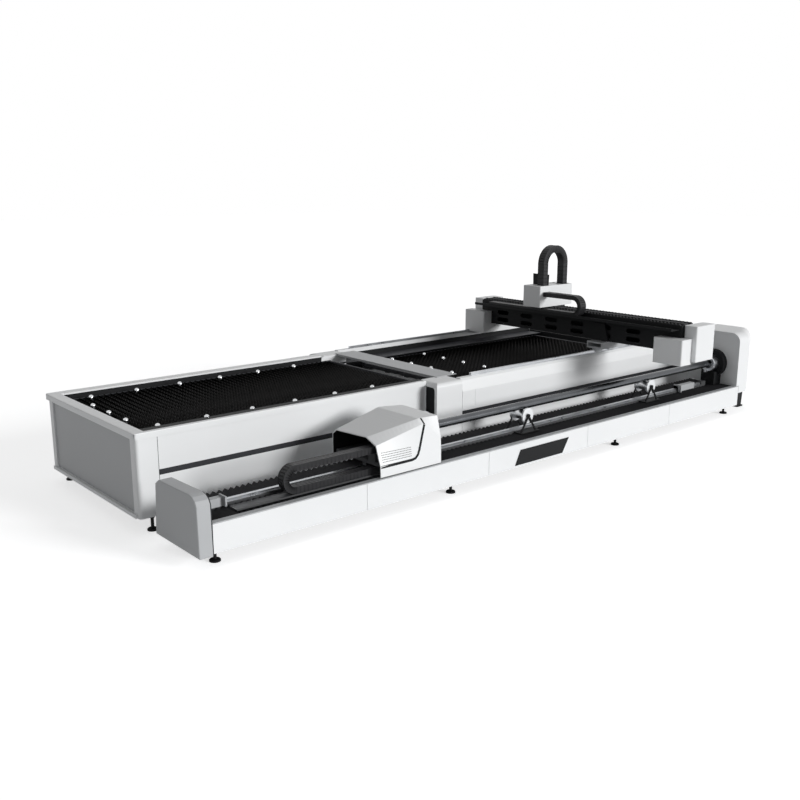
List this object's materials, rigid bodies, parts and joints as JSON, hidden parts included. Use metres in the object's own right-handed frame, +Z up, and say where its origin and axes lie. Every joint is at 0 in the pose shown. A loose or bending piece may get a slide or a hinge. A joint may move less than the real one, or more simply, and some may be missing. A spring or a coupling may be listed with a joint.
{
  "type": "laser cutting machine",
  "caption": "Flat sheet and tube laser cutting machine: bed under a travelling gantry, shuttle table, and tube unit with two chucks.",
  "frame": {"origin": "centre of the base of the whole machine's bounding box, on the floor", "axes": "+X from the shuttle table to the end tower, +Y from the tube unit to the back wall, +Z up"},
  "size_m": [7.85, 3.35, 2.0299],
  "materials": {
    "white_paint": "satin powder coat",
    "grey_paint": "satin powder coat",
    "black_paint": "fine texture powder coat",
    "dark_frame": "matt paint",
    "slat_steel": "heat-stained cut sheet",
    "bright_steel": "ground",
    "ball_steel": "polished",
    "cast_grey": "machined and painted",
    "bellows_black": "coated folded cloth",
    "bellows_grey": "coated folded cloth",
    "chain_plastic": "moulded",
    "aluminium": "anodised",
    "brass_nozzle": "turned",
    "tube_steel": "drawn tube"
  },
  "bodies": {
    "base": {"table_side_walls": "white_paint", "corner_posts": "white_paint", "end_walls": "grey_paint", "table_rim": "white_paint", "bed_side_walls": "white_paint", "groove_strips": "dark_frame", "bridge_cover": "grey_paint", "pallet_rails": "bright_steel", "levelling_feet": "black_paint", "shuttle_motor": "black_paint", "tube_bed_frame": "dark_frame", "front_panels": "white_paint", "front_lip": "grey_paint", "front_plate": "black_paint", "tube_end_cap": "white_paint", "ribbed_covers": "bellows_black", "rail_seat": "cast_grey", "tube_rail": "bright_steel", "tower": "white_paint", "fixed_chuck_body": "grey_paint", "chuck_chain": "chain_plastic", "roller_stands": "white_paint", "gantry_rails": "bright_steel"},
    "gantry": {"gantry_beam": "white_paint", "gantry_saddles": "grey_paint", "drive_covers": "white_paint", "beam_end_caps": "white_paint", "gantry_motors": "black_paint", "cross_rails": "bright_steel", "beam_ribs": "bellows_grey", "chain_tray": "grey_paint", "beam_chain": "chain_plastic"},
    "carriage": {"carriage_plate": "cast_grey", "carriage_cover": "white_paint", "chain_bracket": "black_paint", "head_chain": "chain_plastic"},
    "head": {"head_slide": "aluminium", "head_body": "black_paint", "head_nozzle": "brass_nozzle"},
    "chuck": {"chuck_saddle": "cast_grey", "chuck_cover": "white_paint"},
    "spindle": {"chuck_spindle": "bright_steel", "work_tube": "tube_steel"},
    "fixed_rotor": {"fixed_chuck_rotor": "bright_steel"},
    "roller_1": {"roller_1": "aluminium"},
    "roller_2": {"roller_2": "aluminium"},
    "upper_pallet": {"upper_pallet_frame": "dark_frame", "upper_pallet_slats": "slat_steel", "upper_pallet_balls": "ball_steel"},
    "lower_pallet": {"lower_pallet_frame": "dark_frame", "lower_pallet_slats": "slat_steel", "lower_pallet_balls": "ball_steel"},
    "jaw_1": {"chuck_jaw_1": "bright_steel"},
    "fixed_jaw_1": {"fixed_chuck_jaw_1": "bright_steel"},
    "jaw_2": {"chuck_jaw_2": "bright_steel"},
    "fixed_jaw_2": {"fixed_chuck_jaw_2": "bright_steel"},
    "jaw_3": {"chuck_jaw_3": "bright_steel"},
    "fixed_jaw_3": {"fixed_chuck_jaw_3": "bright_steel"},
    "jaw_4": {"chuck_jaw_4": "bright_steel"},
    "fixed_jaw_4": {"fixed_chuck_jaw_4": "bright_steel"}
  },
  "joints": [
    {"name": "gantry_travel", "type": "slide", "parent": "base", "child": "gantry", "axis": [1, 0, 0], "range_m": [-1.95, 0.5]},
    {"name": "carriage_travel", "type": "slide", "parent": "gantry", "child": "carriage", "axis": [0, 1, 0], "range_m": [-0.62, 0.74], "deforming": ["beam_chain"]},
    {"name": "head_lift", "type": "slide", "parent": "carriage", "child": "head", "axis": [0, 0, 1], "range_m": [-0.19, 0], "deforming": ["head_chain"]},
    {"name": "chuck_travel", "type": "slide", "parent": "base", "child": "chuck", "axis": [1, 0, 0], "range_m": [-1.3, 0.85], "deforming": ["chuck_chain"]},
    {"name": "spindle_spin", "type": "hinge", "parent": "chuck", "child": "spindle", "pos_m": [-1.48, -0.981, 0.603], "axis": [1, 0, 0], "continuous": true},
    {"name": "fixed_spin", "type": "hinge", "parent": "base", "child": "fixed_rotor", "pos_m": [3.33, -0.981, 0.603], "axis": [1, 0, 0], "continuous": true},
    {"name": "roller_1_spin", "type": "hinge", "parent": "base", "child": "roller_1", "pos_m": [-0.105, -0.981, 0.5127], "axis": [0, 1, 0], "continuous": true},
    {"name": "roller_2_spin", "type": "hinge", "parent": "base", "child": "roller_2", "pos_m": [1.965, -0.981, 0.5127], "axis": [0, 1, 0], "continuous": true},
    {"name": "upper_pallet_travel", "type": "slide", "parent": "base", "child": "upper_pallet", "axis": [1, 0, 0], "range_m": [0, 3.5]},
    {"name": "lower_pallet_travel", "type": "slide", "parent": "base", "child": "lower_pallet", "axis": [1, 0, 0], "range_m": [-3.5, 0]},
    {"name": "jaw_1_slide", "type": "slide", "parent": "spindle", "child": "jaw_1", "axis": [0, 0, 1], "range_m": [0, 0.03]},
    {"name": "fixed_jaw_1_slide", "type": "slide", "parent": "fixed_rotor", "child": "fixed_jaw_1", "axis": [0, 0, 1], "range_m": [0, 0.03]},
    {"name": "jaw_2_slide", "type": "slide", "parent": "spindle", "child": "jaw_2", "axis": [0, -1, 0], "range_m": [0, 0.03]},
    {"name": "fixed_jaw_2_slide", "type": "slide", "parent": "fixed_rotor", "child": "fixed_jaw_2", "axis": [0, -1, 0], "range_m": [0, 0.03]},
    {"name": "jaw_3_slide", "type": "slide", "parent": "spindle", "child": "jaw_3", "axis": [0, 0, -1], "range_m": [0, 0.03]},
    {"name": "fixed_jaw_3_slide", "type": "slide", "parent": "fixed_rotor", "child": "fixed_jaw_3", "axis": [0, 0, -1], "range_m": [0, 0.03]},
    {"name": "jaw_4_slide", "type": "slide", "parent": "spindle", "child": "jaw_4", "axis": [0, 1, 0], "range_m": [0, 0.03]},
    {"name": "fixed_jaw_4_slide", "type": "slide", "parent": "fixed_rotor", "child": "fixed_jaw_4", "axis": [0, 1, 0], "range_m": [0, 0.03]}
  ],
  "couplings": [
    {"joint": "fixed_spin", "follows": "spindle_spin", "ratio": 1},
    {"joint": "jaw_2_slide", "follows": "jaw_1_slide", "ratio": 1},
    {"joint": "fixed_jaw_2_slide", "follows": "fixed_jaw_1_slide", "ratio": 1},
    {"joint": "jaw_3_slide", "follows": "jaw_1_slide", "ratio": 1},
    {"joint": "fixed_jaw_3_slide", "follows": "fixed_jaw_1_slide", "ratio": 1},
    {"joint": "jaw_4_slide", "follows": "jaw_1_slide", "ratio": 1},
    {"joint": "fixed_jaw_4_slide", "follows": "fixed_jaw_1_slide", "ratio": 1}
  ]
}
